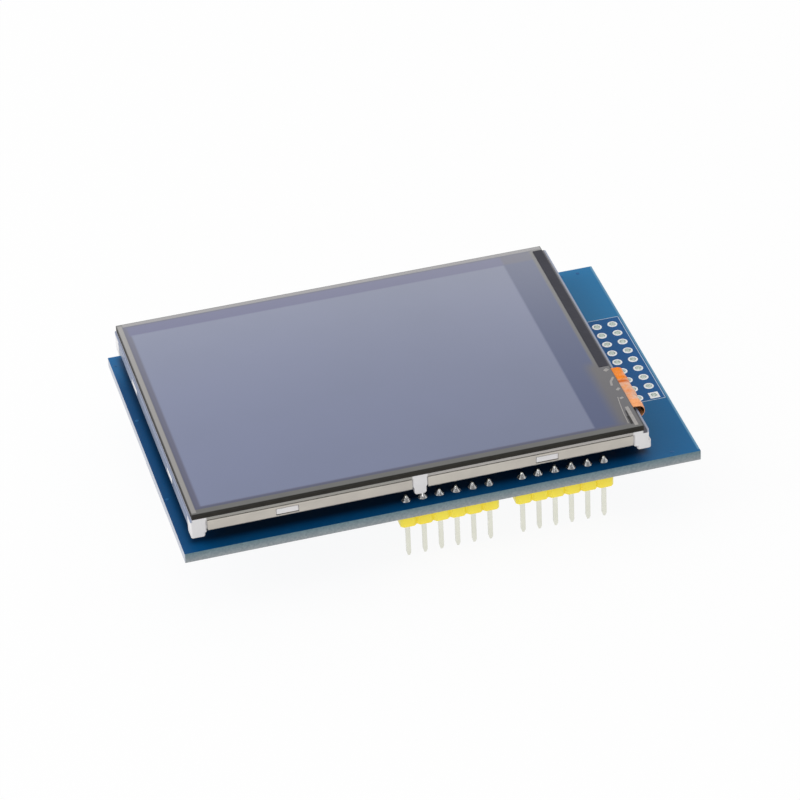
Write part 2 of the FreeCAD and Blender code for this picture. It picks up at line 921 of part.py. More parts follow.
# Chips with folded leads
def moulded_body(x, y, length, width, height):
    middle = chip_standoff + height / 2
    levels = [
        (below(chip_standoff + height), mould_draft),
        (below(middle), 0.0),
        (below(chip_standoff), mould_draft),
    ]
    return tapered_block(x, y, length, width, levels)


def gull_lead(x, y, out, body_half, span_half, height, width, foot, thickness):
    middle = below(chip_standoff + height / 2)
    low = below(thickness / 2)
    knee = span_half - foot
    path = [
        V(x - width / 2, y + out * body_half, middle),
        V(x - width / 2, y + out * (knee - chip_lead_slope), middle),
        V(x - width / 2, y + out * knee, low),
        V(x - width / 2, y + out * span_half, low),
    ]
    return ribbon(path, sharp_fold, thickness, V(width, 0, 0))


def level_shifter_places():
    x = board_left + chip_centre_x
    y = board_near + chip_centre_y
    return {"left": (x - chip_spacing / 2, y), "right": (x + chip_spacing / 2, y)}


def chip_leads(x, y):
    first = -(chip_leads_per_side - 1) * chip_lead_pitch / 2
    leads = []
    for out in (-1, 1):
        for i in range(chip_leads_per_side):
            lead_x = x + first + i * chip_lead_pitch
            leads.append(gull_lead(lead_x, y, out, chip_width / 2, chip_lead_span / 2,
                                   chip_height, chip_lead_width, chip_lead_foot, chip_lead_thickness))
    return Part.makeCompound(leads)


def regulator_place():
    return board_left + regulator_x, board_near + regulator_y


def regulator_body():
    x, y = regulator_place()
    return moulded_body(x, y, regulator_length, regulator_width, regulator_height)


def regulator_leads():
    x, y = regulator_place()
    places = [(x + i * regulator_lead_pitch, -1, regulator_lead_width) for i in (-1, 0, 1)]
    places.append((x, 1, regulator_tab_width))
    leads = []
    for lead_x, out, width in places:
        leads.append(gull_lead(lead_x, y, out, regulator_width / 2, regulator_lead_span / 2,
                               regulator_height, width, regulator_lead_foot, chip_lead_thickness))
    return Part.makeCompound(leads)


# Small two-ended parts
def capacitor_places():
    x = board_left + chip_centre_x
    y = board_near + chip_centre_y - chip_lead_span / 2 - passive_row_gap
    first = x - (capacitor_count - 1) * capacitor_spacing / 2
    return [(first + i * capacitor_spacing, y) for i in range(capacitor_count)]


def resistor_places():
    x = board_left + chip_centre_x
    y = board_near + chip_centre_y + chip_lead_span / 2 + passive_row_gap
    first = x - (resistor_count - 1) * resistor_spacing / 2
    return [(first + i * resistor_spacing, y) for i in range(resistor_count)]


def passive_block(x, y, start, end, width, height, turned):
    """Block from start to end along the part's length, which runs along Y where it is turned."""
    if turned:
        return block(x - width / 2, x + width / 2, y + start, y + end, below(height), board_bottom)
    return block(x + start, x + end, y - width / 2, y + width / 2, below(height), board_bottom)


def passive_bodies(places, size, turned):
    length, width, height = size
    end = length / 2 - passive_end
    return Part.makeCompound([passive_block(x, y, -end, end, width, height, turned) for x, y in places])


def passive_ends(places, size, turned):
    length, width, height = size
    inner = length / 2 - passive_end
    outer = length / 2
    ends = []
    for x, y in places:
        for start, end in ((-outer, -inner), (inner, outer)):
            ends.append(passive_block(x, y, start, end, width, height, turned))
    return Part.makeCompound(ends)


# All pieces by name
pieces = {
    "circuit_board": circuit_board(),
    "plated_holes": plated_holes(),
    "foam_tape": foam_tape(),
    "steel_tray": steel_tray(),
    "plastic_frame": plastic_frame(),
    "backlight_reflector": backlight_reflector(),
    "light_guide": light_guide(),
    "diffuser_film": film_over_guide(guide_top, diffuser_top),
    "lower_prism_film": film_over_guide(diffuser_top, lower_prism_top),
    "upper_prism_film": film_over_guide(lower_prism_top, upper_prism_top),
    "backlight_leds": backlight_leds(),
    "led_flex": led_flex(),
    "rear_polarizer": rear_polarizer(),
    "tft_glass": tft_glass(),
    "cover_glass": cover_glass(),
    "front_polarizer": front_polarizer(),
    "driver_chip": driver_chip(),
    "display_flex": display_flex(),
    "flex_solder": flex_solder(),
    "touch_gasket": touch_gasket(),
    "touch_glass": touch_layer(gasket_top, touch_glass_top),
    "touch_spacer": touch_spacer(),
    "touch_film": touch_film(),
    "edge_tape": edge_tape(),
    "touch_tail": touch_tail(),
    "card_socket_body": card_socket_body(),
    "card_socket_shell": card_socket_shell(),
    "card_socket_contacts": card_socket_contacts(),
    "regulator_body": regulator_body(),
    "regulator_leads": regulator_leads(),
    "capacitor_bodies": passive_bodies(capacitor_places(), capacitor_size, False),
    "capacitor_ends": passive_ends(capacitor_places(), capacitor_size, False),
    "resistor_bodies": passive_bodies(resistor_places(), resistor_size, True),
    "resistor_ends": passive_ends(resistor_places(), resistor_size, True),
}
for header in headers:
    pieces[header + "_header_housing"] = header_housing(header)
    pieces[header + "_header_pins"] = header_pins(header)
    pieces[header + "_header_solder"] = header_solder(header)
for side, (chip_x, chip_y) in level_shifter_places().items():
    body = moulded_body(chip_x, chip_y, chip_length, chip_width, chip_height)
    pieces[side + "_level_shifter_body"] = body
    pieces[side + "_level_shifter_leads"] = chip_leads(chip_x, chip_y)

for name, shape in pieces.items():
    shape.exportStep("parts/" + name + ".step")
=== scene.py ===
import math
import random

import bmesh
import bpy
from mathutils import Matrix, Vector


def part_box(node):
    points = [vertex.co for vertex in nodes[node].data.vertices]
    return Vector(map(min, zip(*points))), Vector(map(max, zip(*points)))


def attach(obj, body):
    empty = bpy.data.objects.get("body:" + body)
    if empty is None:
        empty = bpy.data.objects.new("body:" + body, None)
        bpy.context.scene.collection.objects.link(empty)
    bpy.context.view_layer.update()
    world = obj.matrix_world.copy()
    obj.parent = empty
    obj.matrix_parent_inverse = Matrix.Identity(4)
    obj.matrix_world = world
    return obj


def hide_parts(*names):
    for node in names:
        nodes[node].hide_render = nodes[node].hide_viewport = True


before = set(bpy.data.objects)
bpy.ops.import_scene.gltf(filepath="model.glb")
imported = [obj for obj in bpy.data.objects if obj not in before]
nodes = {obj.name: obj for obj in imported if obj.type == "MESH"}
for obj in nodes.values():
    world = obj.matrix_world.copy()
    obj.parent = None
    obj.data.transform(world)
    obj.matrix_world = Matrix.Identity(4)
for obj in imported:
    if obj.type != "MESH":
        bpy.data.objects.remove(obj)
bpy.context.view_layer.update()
mm = 0.001


# Circuit board
# Glass fibre laminate, 1.6 mm thick, sawn square. Blue solder mask covers both faces, and the
# edges show the bare laminate with its woven layers.
def srgb(red, green, blue):
    """Colour as seen on a screen, 0 to 255, turned into the linear values of a material."""
    values = []
    for level in (red, green, blue):
        share = level / 255
        values.append(share / 12.92 if share <= 0.04045 else ((share + 0.055) / 1.055) ** 2.4)
    return (*values, 1.0)


def effect(name, inputs, outputs):
    """New shader group with named inputs and outputs."""
    tree = bpy.data.node_groups.new(name, "ShaderNodeTree")
    for socket_name, kind, value in inputs:
        socket = tree.interface.new_socket(socket_name, in_out="INPUT", socket_type="NodeSocket" + kind)
        socket.default_value = value
    for socket_name, kind in outputs:
        tree.interface.new_socket(socket_name, in_out="OUTPUT", socket_type="NodeSocket" + kind)
    return tree, tree.nodes.new("NodeGroupInput"), tree.nodes.new("NodeGroupOutput")


def math_node(tree, operation, first, second):
    node = tree.nodes.new("ShaderNodeMath")
    node.operation = operation
    for index, value in enumerate((first, second)):
        if isinstance(value, (int, float)):
            node.inputs[index].default_value = value
        else:
            tree.links.new(value, node.inputs[index])
    return node.outputs[0]


def components(tree, node_kind, output):
    """X, Y and Z of a place or of the surface's normal."""
    source = tree.nodes.new(node_kind)
    apart = tree.nodes.new("ShaderNodeSeparateXYZ")
    tree.links.new(source.outputs[output], apart.inputs[0])
    return apart.outputs


def soft_step(tree, value, start, end):
    """Map range from 0 to 1 with soft ends."""
    step = tree.nodes.new("ShaderNodeMapRange")
    step.interpolation_type = "SMOOTHSTEP"
    step.inputs["From Min"].default_value = start
    step.inputs["From Max"].default_value = end
    tree.links.new(value, step.inputs["Value"])
    return step


def mixed(tree, mask, first, second, kind="RGBA"):
    """Two colours, or two numbers with the kind FLOAT, mixed by a mask."""
    mix = tree.nodes.new("ShaderNodeMix")
    mix.data_type = kind
    tree.links.new(mask, mix.inputs["Factor"])
    for socket, value in (("A", first), ("B", second)):
        if isinstance(value, (tuple, float)):
            mix.inputs[socket].default_value = value
        else:
            tree.links.new(value, mix.inputs[socket])
    return mix.outputs["Result"]


def mottle_effect():
    """Uneven colour and gloss in soft patches, with a height for bumps."""
    tree, given, result = effect(
        "mottle",
        [("Colour", "Color", (0.5, 0.5, 0.5, 1)), ("Second colour", "Color", (0.4, 0.4, 0.4, 1)),
         ("Patch size", "Float", 1.0), ("Amount", "Float", 0.5),
         ("Smooth", "Float", 0.3), ("Rough", "Float", 0.5)],
        [("Colour", "Color"), ("Roughness", "Float"), ("Height", "Float")],
    )
    place = tree.nodes.new("ShaderNodeTexCoord")
    noise = tree.nodes.new("ShaderNodeTexNoise")
    noise.inputs["Detail"].default_value = 4
    noise.inputs["Roughness"].default_value = 0.6
    tree.links.new(place.outputs["Object"], noise.inputs["Vector"])
    tree.links.new(math_node(tree, "DIVIDE", 1 / mm, given.outputs["Patch size"]), noise.inputs["Scale"])
    patches = soft_step(tree, noise.outputs["Fac"], 0.2, 0.8).outputs[0]
    share = math_node(tree, "MULTIPLY", patches, given.outputs["Amount"])
    colour = mixed(tree, share, given.outputs["Colour"], given.outputs["Second colour"])
    gloss = tree.nodes.new("ShaderNodeMapRange")
    tree.links.new(patches, gloss.inputs["Value"])
    tree.links.new(given.outputs["Smooth"], gloss.inputs["To Min"])
    tree.links.new(given.outputs["Rough"], gloss.inputs["To Max"])
    tree.links.new(colour, result.inputs["Colour"])
    tree.links.new(gloss.outputs[0], result.inputs["Roughness"])
    tree.links.new(patches, result.inputs["Height"])
    return tree


def field_effect():
    """Rectangle seen from above, in millimetres, with a soft edge."""
    tree, given, result = effect(
        "field",
        [("Left", "Float", 0.0), ("Right", "Float", 1.0), ("Near", "Float", 0.0), ("Far", "Float", 1.0),
         ("Edge", "Float", 0.1)],
        [("Mask", "Float")],
    )
    place = components(tree, "ShaderNodeTexCoord", "Object")
    mask = 1.0
    for axis, low, high in (("X", "Left", "Right"), ("Y", "Near", "Far")):
        along = math_node(tree, "MULTIPLY", place[axis], 1 / mm)
        inside_low = math_node(tree, "SUBTRACT", along, given.outputs[low])
        inside_high = math_node(tree, "SUBTRACT", given.outputs[high], along)
        for inside in (inside_low, inside_high):
            share = math_node(tree, "DIVIDE", inside, given.outputs["Edge"])
            mask = math_node(tree, "MULTIPLY", mask, soft_step(tree, share, -0.5, 0.5).outputs[0])
    tree.links.new(mask, result.inputs["Mask"])
    return tree


mottle = mottle_effect()
field = field_effect()


def place_effect(tree, group, **values):
    """Shader group in a material, with values of its own."""
    node = tree.nodes.new("ShaderNodeGroup")
    node.node_tree = group
    for name, value in values.items():
        node.inputs[name.replace("_", " ")].default_value = value
    return node


def tinted(tree, colour, *zones):
    """Colour with other shades in rectangles, each soft along its edge, in millimetres."""
    for shade, left, right, near, far, edge in zones:
        zone = place_effect(tree, field, Left=left, Right=right, Near=near, Far=far, Edge=edge)
        colour = mixed(tree, zone.outputs["Mask"], colour, shade)
    return colour


def add_bump(tree, surface, height, depth):
    """Relief in the surface, its depth in millimetres."""
    bump = tree.nodes.new("ShaderNodeBump")
    bump.inputs["Distance"].default_value = depth * mm
    tree.links.new(height, bump.inputs["Height"])
    tree.links.new(bump.outputs["Normal"], surface.inputs["Normal"])


def new_material(name, **sockets):
    """Material whose even values are set on the shader's own sockets."""
    material = bpy.data.materials.new(name)
    material.use_nodes = True
    tree = material.node_tree
    surface = tree.nodes["Principled BSDF"]
    for socket, value in sockets.items():
        surface.inputs[socket.replace("_", " ")].default_value = value
    return material, tree, surface


def finish(name, colour, second, patch, smooth, rough, grain, bump, **sockets):
    """Material with soft patches of a second colour and a fine grain in its surface.

    Patch and grain are sizes and bump is the grain's depth, all in millimetres.
    """
    material, tree, surface = new_material(name, **sockets)
    patches = place_effect(tree, mottle, Colour=colour, Second_colour=second, Patch_size=patch,
                           Amount=0.6, Smooth=smooth, Rough=rough)
    tree.links.new(patches.outputs["Colour"], surface.inputs["Base Color"])
    tree.links.new(patches.outputs["Roughness"], surface.inputs["Roughness"])
    fine = place_effect(tree, mottle, Patch_size=grain)
    add_bump(tree, surface, fine.outputs["Height"], bump)
    return material


def dress(piece, material):
    piece.data.materials.clear()
    piece.data.materials.append(material)


board_low, board_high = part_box("circuit_board")


def solder_mask_material():
    material, tree, surface = new_material("solder_mask_on_laminate", Coat_Roughness=0.12,
                                           Specular_IOR_Level=0.14)
    mask = place_effect(tree, mottle, Colour=srgb(2, 74, 126), Second_colour=srgb(6, 82, 134),
                        Patch_size=9.0, Amount=0.7, Smooth=0.30, Rough=0.42)
    # Painted light: the open end of the board is painted a lighter blue, and its far part and the far left
    # corner lighter still.
    painted_light_open_end = srgb(8, 98, 151), 31.0, 45.0, -30.0, 30.0, 5.0
    far_end = srgb(30, 117, 169), 31.0, 45.0, 8.0, 30.0, 7.0
    painted_light_far_corner = srgb(20, 102, 158), -45.0, -30.0, 20.0, 30.0, 7.0
    # Painted highlight: a thin paler line along the board's right edge.
    right_rim = srgb(96, 150, 184), 39.2, 45.0, -26.0, 30.0, 0.25
    # Painted shade: the board under the steel tray is painted a darker blue.
    painted_shade_below_tray = srgb(4, 40, 72), -38.0, 32.0, -24.4, 26.0, 1.6
    around_holes = srgb(6, 88, 150), 33.7, 39.1, -11.6, 11.5, 0.3
    face = tinted(tree, mask.outputs["Colour"], painted_light_open_end, far_end, painted_light_far_corner, right_rim, painted_shade_below_tray,
                  around_holes)
    under = place_effect(tree, mottle, Colour=srgb(4, 82, 136), Second_colour=srgb(10, 90, 146),
                         Patch_size=9.0, Amount=0.7)
    outward = components(tree, "ShaderNodeNewGeometry", "Normal")["Z"]
    upper = math_node(tree, "GREATER_THAN", outward, 0.5)
    face = mixed(tree, upper, under.outputs["Colour"], face)

    weave = place_effect(tree, mottle, Colour=srgb(110, 136, 144), Second_colour=srgb(84, 108, 118),
                         Patch_size=0.35, Amount=0.8, Smooth=0.55, Rough=0.75)
    # Painted light and shade: the edge's weave is painted lighter towards the bottom and darker towards the
    # top.
    lower_weave_painted_lighter = place_effect(tree, mottle, Colour=srgb(164, 168, 170), Second_colour=srgb(132, 139, 144),
                               Patch_size=0.35, Amount=0.8)
    level = components(tree, "ShaderNodeTexCoord", "Object")["Z"]
    above = math_node(tree, "SUBTRACT", level, board_low.z)
    share_up_edge = math_node(tree, "DIVIDE", above, board_high.z - board_low.z)
    edge = mixed(tree, share_up_edge, lower_weave_painted_lighter.outputs["Colour"], weave.outputs["Colour"])
    # Painted light: the board's left edge is painted paler.
    painted_light_left_edge = srgb(188, 192, 202), -40.0, -39.45, -27.0, 27.0, 0.04
    edge = tinted(tree, edge, painted_light_left_edge)

    flat = math_node(tree, "GREATER_THAN", math_node(tree, "ABSOLUTE", outward, 0.0), 0.5)
    rough = mixed(tree, flat, weave.outputs["Roughness"], mask.outputs["Roughness"], "FLOAT")
    tree.links.new(mixed(tree, flat, edge, face), surface.inputs["Base Color"])
    tree.links.new(rough, surface.inputs["Roughness"])
    tree.links.new(math_node(tree, "MULTIPLY", flat, 0.03), surface.inputs["Coat Weight"])
    peel = place_effect(tree, mottle, Patch_size=0.5)
    add_bump(tree, surface, peel.outputs["Height"], 0.004)
    return material


dress(nodes["circuit_board"], solder_mask_material())


# Copper tracks under the solder mask
# Etched copper, 0.035 mm high, from the chips, the card socket and the small parts to the pins
# and to plated vias. The mask runs over it, so a track shows as a low ridge of a paler blue.
pin_pitch, lead_pitch = 2.54, 1.27
# x and y of a header's first pin, and how many pins it has
headers = {
    "power": (-5.45, -24.13, 6),
    "analog": (12.33, -24.13, 6),
    "low_digital": (7.25, 24.13, 8),
    "high_digital": (-9.514, 24.13, 6),
}
first_resistor, resistor_pitch = -7.2, 2.2


def new_piece(name, mesh_data, material, replaced=()):
    """Mesh object riding on the one rigid body."""
    mesh = bpy.data.meshes.new(name)
    mesh_data.normal_update()
    mesh_data.to_mesh(mesh)
    mesh_data.free()
    piece = bpy.data.objects.new(name, mesh)
    bpy.context.scene.collection.objects.link(piece)
    mesh.shade_smooth()
    mesh.set_sharp_from_angle(angle=math.radians(32))
    dress(piece, material)
    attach(piece, "root")
    if replaced:
        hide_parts(*replaced)
    return piece


def flat_strip(shape, path, width, z, height):
    """Ridge of a given width along a path in millimetres, its sides leaning in a little."""
    points = [Vector((x, y)) for x, y in path]
    last = len(points) - 1
    rings = []
    for i, point in enumerate(points):
        before = (point - points[i - 1]).normalized() if i else (points[1] - point).normalized()
        after = (points[i + 1] - point).normalized() if i < last else before
        side = Vector((-before.y - after.y, before.x + after.x)).normalized()
        reach = width / 2 / max(side.dot(Vector((-before.y, before.x))), 0.3)
        lean = 1 - min(abs(height) / width, 0.4)
        ring = []
        for share, level in ((-1, z), (-lean, z + height), (lean, z + height), (1, z)):
            spot = point + side * reach * share
            ring.append(shape.verts.new((spot.x * mm, spot.y * mm, level * mm)))
        rings.append(ring)
    for first, second in zip(rings, rings[1:]):
        for i in range(3):
            quad = [first[i], first[i + 1], second[i + 1], second[i]]
            shape.faces.new(quad if height < 0 else quad[::-1])
    shape.faces.new(rings[0][::-1] if height < 0 else rings[0])
    shape.faces.new(rings[-1] if height < 0 else rings[-1][::-1])


def route(start, end, level, corner=0.6):
    """Track that runs along Y, crosses at one level and goes on along Y, its corners cut."""
    across = math.copysign(corner, end[0] - start[0])
    down = math.copysign(corner, end[1] - start[1])
    if abs(end[0] - start[0]) < 2.1 * corner:
        half = (end[0] - start[0]) / 2
        return [start, (start[0], level - math.copysign(abs(half), down)), (end[0], level), end]
    return [start, (start[0], level - down), (start[0] + across, level), (end[0] - across, level),
            (end[0], level + down), end]


def disc(shape, x, y, radius, z, height, sides=20):
    """Low round button, its rim leaning in."""
    rings = []
    for share, level in ((1.0, z), (0.86, z + height)):
        ring = []
        for i in range(sides):
            turn = 2 * math.pi * i / sides
            ring.append(shape.verts.new(((x + radius * share * math.cos(turn)) * mm,
                                         (y + radius * share * math.sin(turn)) * mm, level * mm)))
        rings.append(ring)
    for i in range(sides):
        quad = [rings[0][i - 1], rings[0][i], rings[1][i], rings[1][i - 1]]
        shape.faces.new(quad[::-1] if height < 0 else quad)
    shape.faces.new(rings[1][::-1] if height < 0 else rings[1])


def under_tracks():
    shape = bmesh.new()
    low = board_low.z / mm
    ridge, via, via_radius = -0.035, -0.049, 0.38
    narrow, wide, broad = 0.30, 0.70, 1.00
    chips_near, chips_far = -4.9, 6.7
    resistors_near, resistors_far = 7.9, 10.6
    housings_near, housings_far = -22.7, 22.7
    paths = []
    for i, lead in enumerate((-7.84, -5.30, -2.76, -1.49, 2.49, 3.76, 6.30, 8.84)):
        resistor = first_resistor + resistor_pitch * i
        paths.append(route((resistor, resistors_near), (lead, chips_far), 7.4, 0.3))
        if i < 5:
            pin = headers["low_digital"][0] + pin_pitch * i
            paths.append(route((pin, housings_far), (resistor, resistors_far), 20.6 - 0.95 * i))
        else:
            paths.append([(resistor, 13.4), (resistor, resistors_far)])
            disc(shape, resistor, 13.4, via_radius, low, via)
    for header, first_lead, level in (("analog", 7.53, -17.25), ("power", -10.4, -16.65)):
        for i in range(6):
            lead, pin = first_lead + lead_pitch * i, headers[header][0] + pin_pitch * i
            paths.append(route((lead, chips_near), (pin, housings_near), level + 1.05 * i))
    socket_springs = -23.3
    for i in range(8):
        x, spring, end = -16.55 - 0.55 * i, -8.55 + 1.1 * i, 12.0 + 0.8 * i
        paths.append([(socket_springs, spring), (x - 0.6, spring), (x, spring + 0.6), (x, end)])
        disc(shape, x, end, via_radius, low, via)
    for path in paths:
        flat_strip(shape, path, narrow, low, ridge)
    for leg in (19.8, 22.5, 25.2):
        flat_strip(shape, [(leg, 9.6), (leg, 3.0)], wide, low, ridge)
        disc(shape, leg, 3.0, 0.55, low, via)
    supply = [(22.5, 18.0), (22.5, 20.0), (30.5, 20.0), (30.5, -20.5)]
    flat_strip(shape, supply, broad, low, ridge)
    return shape


def top_vias():
    shape = bmesh.new()
    high = board_high.z / mm
    places = (-38.9, 24.0), (-38.9, -12.6), (-38.8, 8.5), (34.0, 25.2), (36.8, 25.2), (35.4, -25.4)
    for x, y in places:
        disc(shape, x, y, 0.30, high, 0.04)
    return shape


track_mask = finish("mask_over_copper", srgb(22, 100, 156), srgb(14, 90, 146), 6.0, 0.28, 0.40, 0.5, 0.004,
                    Coat_Weight=0.06, Coat_Roughness=0.12, Specular_IOR_Level=0.2)
new_piece("tracks_under", under_tracks(), track_mask)
new_piece("vias_top", top_vias(), track_mask)


# White print
# Screen-printed epoxy ink, 0.02 mm thick: a frame around the spare holes on top, and outlines
# of the chips, the small parts and the headers below. It carries no lettering.
def printed_frame(shape, left, right, near, far, z, height, width=0.13):
    for path in (
        [(left, near), (right, near)], [(right, near), (right, far)],
        [(right, far), (left, far)], [(left, far), (left, near)],
    ):
        flat_strip(shape, path, width, z, height)


def white_print():
    shape = bmesh.new()
    top = board_high.z / mm
    under = board_low.z / mm
    ink = 0.02
    printed_frame(shape, 33.77, 38.98, -11.75, 11.5, top, ink)
    for left in (-13.9, 1.5):
        printed_frame(shape, left, left + 13.4, -3.0, 5.0, under, -ink)
        disc(shape, left - 0.5, -3.6, 0.3, under, -ink)
    printed_frame(shape, 18.9, 26.1, 12.0, 16.0, under, -ink)
    for capacitor in (-6.4, -1.8, 2.8, 7.4):
        printed_frame(shape, capacitor - 1.35, capacitor + 1.35, -8.05, -6.25, under, -ink, 0.12)
    for i in range(8):
        resistor = first_resistor + resistor_pitch * i
        printed_frame(shape, resistor - 0.7, resistor + 0.7, 8.1, 10.2, under, -ink, 0.12)
    for left, right, row in ((-6.95, 8.75, -24.13), (10.85, 26.55, -24.13), (5.75, 26.55, 24.13),
                             (-11.05, 4.65, 24.13)):
        printed_frame(shape, left, right, row - 1.45, row + 1.45, under, -ink)
    return shape


ink_material = finish("white_ink", srgb(184, 205, 224), srgb(152, 184, 212), 0.8, 0.5, 0.7, 0.12, 0.006)
new_piece("white_print", white_print(), ink_material)


# Spare holes
# Drilled and copper-plated through the board, then tinned. Two columns of nine pads, all of
# them round but the near one of the right column.
hole_places = [(x, -10.6 + pin_pitch * row) for x in (37.54, 35.0) for row in range(9)]


def turned(shape, x, y, profile, square=()):
    """Closed profile of (radius, z) turned around a hole, the rings named in square with corners."""
    rings = []
    sides = 28
    for number, (radius, z) in enumerate(profile):
        ring = []
        for i in range(sides):
            turn = 2 * math.pi * (i + 0.5) / sides
            across = radius
            if number in square:
                across = radius / max(abs(math.cos(turn)), abs(math.sin(turn)))
            ring.append(shape.verts.new(((x + across * math.cos(turn)) * mm,
                                         (y + across * math.sin(turn)) * mm, z * mm)))
        rings.append(ring)
    for first, second in zip(rings, rings[1:] + rings[:1]):
        for i in range(sides):
            shape.faces.new((first[i - 1], first[i], second[i], second[i - 1]))


def tinned_rings():
    shape = bmesh.new()
    low, high = board_low.z / mm, board_high.z / mm
    profile = [
        (0.53, low - 0.04), (0.53, high + 0.04), (0.57, high + 0.055), (0.64, high + 0.06),
        (0.73, high + 0.035), (0.78, high - 0.002), (0.57, high - 0.002),
        (0.57, low + 0.002), (0.78, low + 0.002),
        (0.73, low - 0.035), (0.64, low - 0.06), (0.57, low - 0.055),
    ]
    pad_rings = (3, 4, 5, 8, 9, 10)
    for place in hole_places:
        turned(shape, *place, profile, pad_rings if place == hole_places[0] else ())
    return shape


def tinned_bores():
    shape = bmesh.new()
    low, high = board_low.z / mm, board_high.z / mm
    profile = [(0.50, low - 0.03), (0.50, high + 0.03), (0.53, high + 0.045), (0.53, low - 0.045)]
    for place in hole_places:
        turned(shape, *place, profile)
    return shape


tin = finish("tin_plate", srgb(240, 240, 240), srgb(214, 216, 218), 0.7, 0.25, 0.45, 0.3, 0.012, Metallic=0.9)
new_piece("spare_hole_rings", tinned_rings(), tin, ["plated_holes"])
dull_tin = finish("dull_tin", srgb(246, 250, 247), srgb(232, 240, 236), 0.7, 0.35, 0.5, 0.3, 0.004,
                  Metallic=1.0)
new_piece("spare_hole_bores", tinned_bores(), dull_tin)


# Pin headers
# Square brass pins, tin plated, pressed through yellow moulded strips whose notches let a row
# be snapped to length. Four strips, with the pins soldered from above.
def softened(name, node, material, width):
    """Copy of a CAD node with its hard edges rounded, standing in its place."""
    shape = bmesh.new()
    shape.from_mesh(nodes[node].data)
    bmesh.ops.remove_doubles(shape, verts=shape.verts, dist=0.002 * mm)
    bmesh.ops.dissolve_limit(shape, angle_limit=math.radians(1), verts=shape.verts, edges=shape.edges)
    sharp = math.radians(25)
    hard = [edge for edge in shape.edges
            if len(edge.link_faces) == 2 and edge.calc_face_angle(0) > sharp]
    bmesh.ops.bevel(shape, geom=hard, offset=width * mm, offset_type="OFFSET", segments=2,
                    profile=0.5, affect="EDGES", clamp_overlap=True)
    return new_piece(name, shape, material, [node])


yellow = finish("yellow_moulding", srgb(255, 236, 62), srgb(255, 224, 46), 3.0, 0.32, 0.46, 0.25, 0.006,
                Coat_Weight=0.15, Coat_Roughness=0.2)
pin_metal = finish("pin_plating", srgb(228, 228, 216), srgb(216, 216, 204), 3.0, 0.24, 0.36, 0.6, 0.002,
                   Metallic=1.0)
for header in headers:
    softened(header + "_strip", header + "_header_housing", yellow, 0.12)
    softened(header + "_pins", header + "_header_pins", pin_metal, 0.05)


# Solder joints
# Hand-soldered tin that has wetted the pad and climbed the pin in a steep cone. No two
# are quite alike, and the pin's end stands out of each.
def solder_joints(x, y, count, chance):
    shape = bmesh.new()
    base, tip = board_high.z / mm, 0.20
    sides, levels = 24, 8
    for i in range(count):
        wide = chance.uniform(0.70, 0.76)
        tall = chance.uniform(0.74, 0.80)
        lean = chance.uniform(-0.04, 0.04)
        rings = []
        for level in range(levels + 1):
            share = level / levels
            radius = tip + (wide - tip) * (1 - share) ** 1.15
            ring = []
            for k in range(sides):
                turn = 2 * math.pi * k / sides
                wave = 1 + 0.05 * math.sin(2 * turn + i) * (1 - share)
                ring.append(shape.verts.new((
                    (x + pin_pitch * i + lean * share + radius * wave * math.cos(turn)) * mm,
                    (y + radius * wave * math.sin(turn)) * mm,
                    (base + tall * share) * mm)))
            rings.append(ring)
        for first, second in zip(rings, rings[1:]):
            for k in range(sides):
                shape.faces.new((first[k - 1], first[k], second[k], second[k - 1]))
        shape.faces.new(rings[-1])
        shape.faces.new(rings[0][::-1])
    return shape


solder = finish("solder", srgb(232, 232, 232), srgb(196, 198, 200), 0.5, 0.10, 0.28, 0.4, 0.02, Metallic=1.0)
chance = random.Random(7)
for header, (x, y, count) in headers.items():
    new_piece(header + "_joints", solder_joints(x, y, count, chance), solder,
              [header + "_header_solder"])


# Foam tape
# Two strips of closed-cell foam with adhesive on both faces, cut with a knife. They hold the
# steel tray 2.5 mm above the board, and their sides bulge a little under its weight.
def foam_strips():
    shape = bmesh.new()
    low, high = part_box("foam_tape")
    strip_width, swell, steps = 9.0, 0.12, 8
    bottom, top = low.z / mm, high.z / mm
    for middle in (-13.0, 13.0):
        rings = []
        for share in (0.0, 0.06, 0.25, 0.5, 0.75, 0.94, 1.0):
            bulge = swell * math.sin(math.pi * share) - swell
            left, right = low.x / mm - bulge, high.x / mm + bulge
            half = strip_width / 2 + bulge
            z = bottom + share * (top - bottom)
            ring = []
            for x0, y0, x1, y1 in ((left, middle - half, right, middle - half),
                                   (right, middle - half, right, middle + half),
                                   (right, middle + half, left, middle + half),
                                   (left, middle + half, left, middle - half)):
                for step in range(steps):
                    along = step / steps
                    ring.append(shape.verts.new(((x0 + (x1 - x0) * along) * mm,
                                                 (y0 + (y1 - y0) * along) * mm, z * mm)))
            rings.append(ring)
        for first, second in zip(rings, rings[1:]):
            for k in range(len(first)):
                shape.faces.new((first[k - 1], first[k], second[k], second[k - 1]))
        shape.faces.new(rings[-1])
        shape.faces.new(rings[0][::-1])
    return shape


foam = finish("closed_cell_foam", srgb(205, 204, 200), srgb(176, 175, 172), 0.5, 0.85, 0.95, 0.22, 0.05)
foam_piece = new_piece("foam_strips", foam_strips(), foam, ["foam_tape"])


# Steel tray
# Stainless sheet, 0.25 mm thick, pierced and folded up on four sides with open corners. The
# rolling marks run along it, and each window holds a hook of the frame.
def rolled_lines(tree, line_width, line_length):
    """Long fine noise along X, as left by rolling."""
    place = tree.nodes.new("ShaderNodeTexCoord")
    stretch = tree.nodes.new("ShaderNodeMapping")
    stretch.vector_type = "TEXTURE"
    stretch.inputs["Scale"].default_value = (line_length * mm, line_width * mm, line_width * mm)
    noise = tree.nodes.new("ShaderNodeTexNoise")
    noise.inputs["Scale"].default_value = 1.0
    noise.inputs["Detail"].default_value = 3
    tree.links.new(place.outputs["Object"], stretch.inputs["Vector"])
    tree.links.new(stretch.outputs[0], noise.inputs["Vector"])
    return noise.outputs["Fac"]


